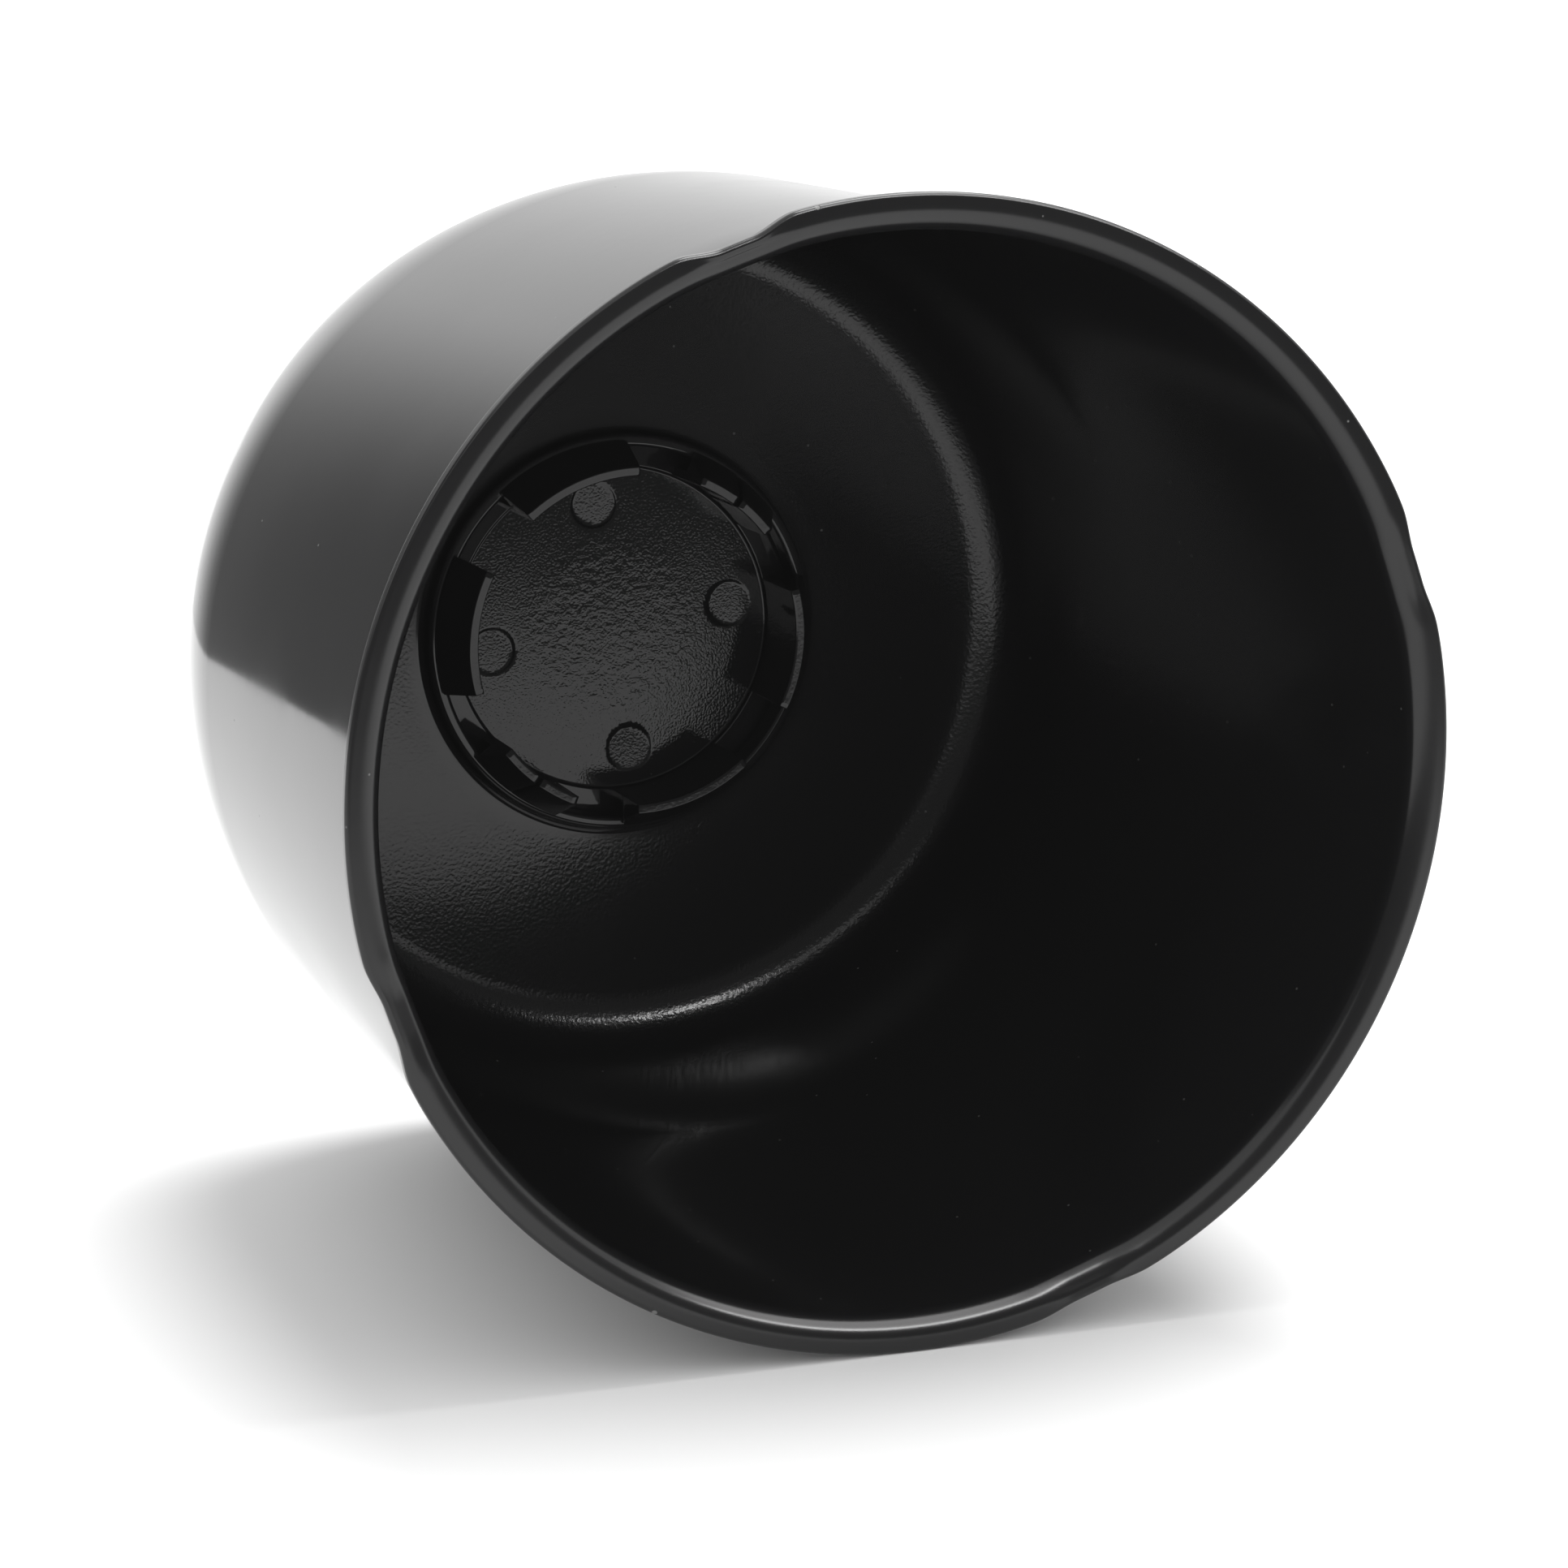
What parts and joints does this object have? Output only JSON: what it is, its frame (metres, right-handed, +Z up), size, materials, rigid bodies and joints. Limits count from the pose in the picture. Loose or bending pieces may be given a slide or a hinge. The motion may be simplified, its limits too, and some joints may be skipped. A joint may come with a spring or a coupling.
{
  "type": "wheel centre cap",
  "caption": "Deep push-through wheel centre cap: a gloss black pressed steel cup with a notched lip, and a snap-in plug with a blank badge in its closed end.",
  "frame": {"origin": "on the axis, in the seat plane where the back of the lip meets the wheel", "axes": "+Y along the axis and out through the closed end, +Z up with the cap lying on its side, angles counted from +X to +Z"},
  "size_m": [0.1116, 0.0997, 0.1116],
  "materials": {
    "shell_coat": "gloss black coat over pressed steel",
    "plug_plastic": "black moulded plastic with a fine leathery texture inside",
    "adhesive_foam": "thin grey-black foam tape",
    "badge_metal": "satin dark anodised blank"
  },
  "bodies": {
    "root": {"cap_shell": "shell_coat", "snap_plug": "plug_plastic", "badge_adhesive": "adhesive_foam", "badge_disc": "badge_metal"}
  },
  "joints": []
}
